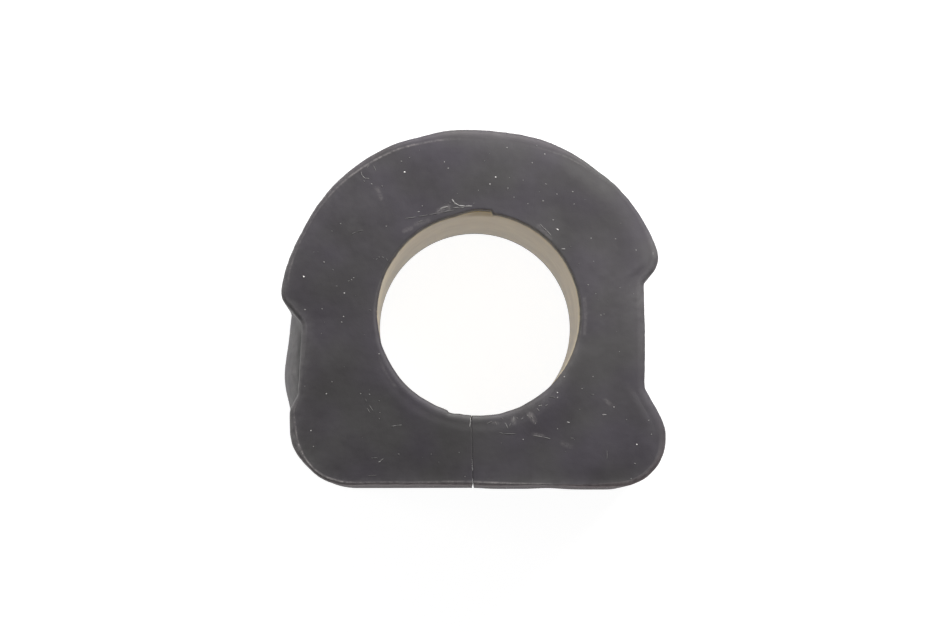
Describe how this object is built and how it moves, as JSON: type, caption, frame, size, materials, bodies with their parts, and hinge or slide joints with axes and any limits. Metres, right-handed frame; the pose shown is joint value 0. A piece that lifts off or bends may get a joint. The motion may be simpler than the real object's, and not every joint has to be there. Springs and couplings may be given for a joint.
{
  "type": "sway bar bushing",
  "caption": "Split D-shaped rubber sway bar bushing with side lips, waists, a flat base and a smooth liner in its bore.",
  "frame": {"origin": "centre of the bore at mid length", "axes": "+Z along the bore, towards the end face that the picture shows; -Y out of the flat base; +X towards the side with the larger round foot"},
  "size_m": [0.0612, 0.0564, 0.036],
  "materials": {
    "rubber": "matt moulded black rubber",
    "liner": "matt cream low-friction liner"
  },
  "bodies": {
    "root": {"rubber_body": "rubber", "bore_liner": "liner"}
  },
  "joints": []
}
